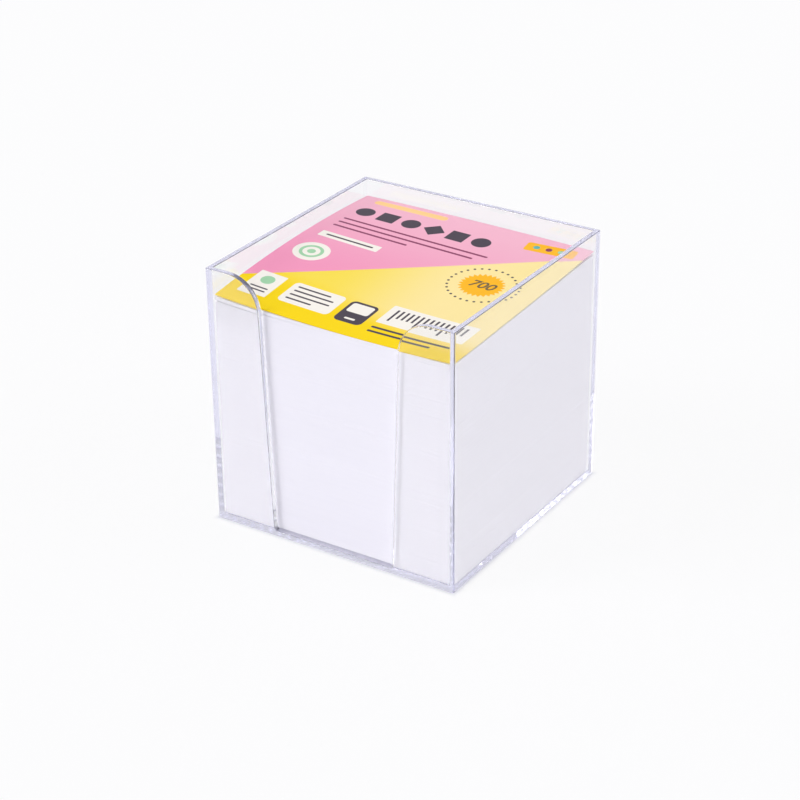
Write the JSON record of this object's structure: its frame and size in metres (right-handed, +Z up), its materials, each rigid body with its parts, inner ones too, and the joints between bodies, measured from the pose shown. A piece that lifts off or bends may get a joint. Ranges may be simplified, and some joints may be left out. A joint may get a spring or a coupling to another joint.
{
  "type": "memo holder",
  "caption": "Clear open-topped cube box with a tapered finger slot in its front wall, filled with loose square note sheets under a printed cover card.",
  "frame": {"origin": "centre of the box's underside, on the surface it stands on", "axes": "+Z up; -Y is the front, where the finger slot is; +X to the right, seen from the front"},
  "size_m": [0.0952, 0.0952, 0.0936],
  "materials": {
    "clear_polystyrene": "polished",
    "note_paper": "matte",
    "gloss_card": "satin"
  },
  "bodies": {
    "box": {"box": "clear_polystyrene"},
    "sheet_bundle_01": {"sheet_bundle_01": "note_paper"},
    "sheet_bundle_02": {"sheet_bundle_02": "note_paper"},
    "sheet_bundle_03": {"sheet_bundle_03": "note_paper"},
    "sheet_bundle_04": {"sheet_bundle_04": "note_paper"},
    "sheet_bundle_05": {"sheet_bundle_05": "note_paper"},
    "sheet_bundle_06": {"sheet_bundle_06": "note_paper"},
    "sheet_bundle_07": {"sheet_bundle_07": "note_paper"},
    "sheet_bundle_08": {"sheet_bundle_08": "note_paper"},
    "sheet_bundle_09": {"sheet_bundle_09": "note_paper"},
    "sheet_bundle_10": {"sheet_bundle_10": "note_paper"},
    "sheet_bundle_11": {"sheet_bundle_11": "note_paper"},
    "sheet_bundle_12": {"sheet_bundle_12": "note_paper"},
    "sheet_bundle_13": {"sheet_bundle_13": "note_paper"},
    "sheet_bundle_14": {"sheet_bundle_14": "note_paper"},
    "loose_sheet_01": {"loose_sheet_01": "note_paper"},
    "loose_sheet_02": {"loose_sheet_02": "note_paper"},
    "loose_sheet_03": {"loose_sheet_03": "note_paper"},
    "loose_sheet_04": {"loose_sheet_04": "note_paper"},
    "loose_sheet_05": {"loose_sheet_05": "note_paper"},
    "loose_sheet_06": {"loose_sheet_06": "note_paper"},
    "loose_sheet_07": {"loose_sheet_07": "note_paper"},
    "loose_sheet_08": {"loose_sheet_08": "note_paper"},
    "loose_sheet_09": {"loose_sheet_09": "note_paper"},
    "loose_sheet_10": {"loose_sheet_10": "note_paper"},
    "cover_card": {"cover_card": "gloss_card"}
  },
  "joints": [
    {"name": "sheet_bundle_01_lift", "type": "slide", "parent": "box", "child": "sheet_bundle_01", "axis": [0, 0, 1], "range_m": [0, 0.0966]},
    {"name": "sheet_bundle_02_lift", "type": "slide", "parent": "sheet_bundle_01", "child": "sheet_bundle_02", "axis": [0, 0, 1], "range_m": [0, 0.0909]},
    {"name": "sheet_bundle_03_lift", "type": "slide", "parent": "sheet_bundle_02", "child": "sheet_bundle_03", "axis": [0, 0, 1], "range_m": [0, 0.0853]},
    {"name": "sheet_bundle_04_lift", "type": "slide", "parent": "sheet_bundle_03", "child": "sheet_bundle_04", "axis": [0, 0, 1], "range_m": [0, 0.0796]},
    {"name": "sheet_bundle_05_lift", "type": "slide", "parent": "sheet_bundle_04", "child": "sheet_bundle_05", "axis": [0, 0, 1], "range_m": [0, 0.0739]},
    {"name": "sheet_bundle_06_lift", "type": "slide", "parent": "sheet_bundle_05", "child": "sheet_bundle_06", "axis": [0, 0, 1], "range_m": [0, 0.0682]},
    {"name": "sheet_bundle_07_lift", "type": "slide", "parent": "sheet_bundle_06", "child": "sheet_bundle_07", "axis": [0, 0, 1], "range_m": [0, 0.0626]},
    {"name": "sheet_bundle_08_lift", "type": "slide", "parent": "sheet_bundle_07", "child": "sheet_bundle_08", "axis": [0, 0, 1], "range_m": [0, 0.0569]},
    {"name": "sheet_bundle_09_lift", "type": "slide", "parent": "sheet_bundle_08", "child": "sheet_bundle_09", "axis": [0, 0, 1], "range_m": [0, 0.0512]},
    {"name": "sheet_bundle_10_lift", "type": "slide", "parent": "sheet_bundle_09", "child": "sheet_bundle_10", "axis": [0, 0, 1], "range_m": [0, 0.0456]},
    {"name": "sheet_bundle_11_lift", "type": "slide", "parent": "sheet_bundle_10", "child": "sheet_bundle_11", "axis": [0, 0, 1], "range_m": [0, 0.0399]},
    {"name": "sheet_bundle_12_lift", "type": "slide", "parent": "sheet_bundle_11", "child": "sheet_bundle_12", "axis": [0, 0, 1], "range_m": [0, 0.0342]},
    {"name": "sheet_bundle_13_lift", "type": "slide", "parent": "sheet_bundle_12", "child": "sheet_bundle_13", "axis": [0, 0, 1], "range_m": [0, 0.0286]},
    {"name": "sheet_bundle_14_lift", "type": "slide", "parent": "sheet_bundle_13", "child": "sheet_bundle_14", "axis": [0, 0, 1], "range_m": [0, 0.0229]},
    {"name": "loose_sheet_01_lift", "type": "slide", "parent": "sheet_bundle_14", "child": "loose_sheet_01", "axis": [0, 0, 1], "range_m": [0, 0.0184]},
    {"name": "loose_sheet_02_lift", "type": "slide", "parent": "loose_sheet_01", "child": "loose_sheet_02", "axis": [0, 0, 1], "range_m": [0, 0.0183]},
    {"name": "loose_sheet_03_lift", "type": "slide", "parent": "loose_sheet_02", "child": "loose_sheet_03", "axis": [0, 0, 1], "range_m": [0, 0.0181]},
    {"name": "loose_sheet_04_lift", "type": "slide", "parent": "loose_sheet_03", "child": "loose_sheet_04", "axis": [0, 0, 1], "range_m": [0, 0.018]},
    {"name": "loose_sheet_05_lift", "type": "slide", "parent": "loose_sheet_04", "child": "loose_sheet_05", "axis": [0, 0, 1], "range_m": [0, 0.0179]},
    {"name": "loose_sheet_06_lift", "type": "slide", "parent": "loose_sheet_05", "child": "loose_sheet_06", "axis": [0, 0, 1], "range_m": [0, 0.0178]},
    {"name": "loose_sheet_07_lift", "type": "slide", "parent": "loose_sheet_06", "child": "loose_sheet_07", "axis": [0, 0, 1], "range_m": [0, 0.0177]},
    {"name": "loose_sheet_08_lift", "type": "slide", "parent": "loose_sheet_07", "child": "loose_sheet_08", "axis": [0, 0, 1], "range_m": [0, 0.0176]},
    {"name": "loose_sheet_09_lift", "type": "slide", "parent": "loose_sheet_08", "child": "loose_sheet_09", "axis": [0, 0, 1], "range_m": [0, 0.0175]},
    {"name": "loose_sheet_10_lift", "type": "slide", "parent": "loose_sheet_09", "child": "loose_sheet_10", "axis": [0, 0, 1], "range_m": [0, 0.0173]},
    {"name": "cover_card_lift", "type": "slide", "parent": "loose_sheet_10", "child": "cover_card", "axis": [0, 0, 1], "range_m": [0, 0.0172]}
  ]
}
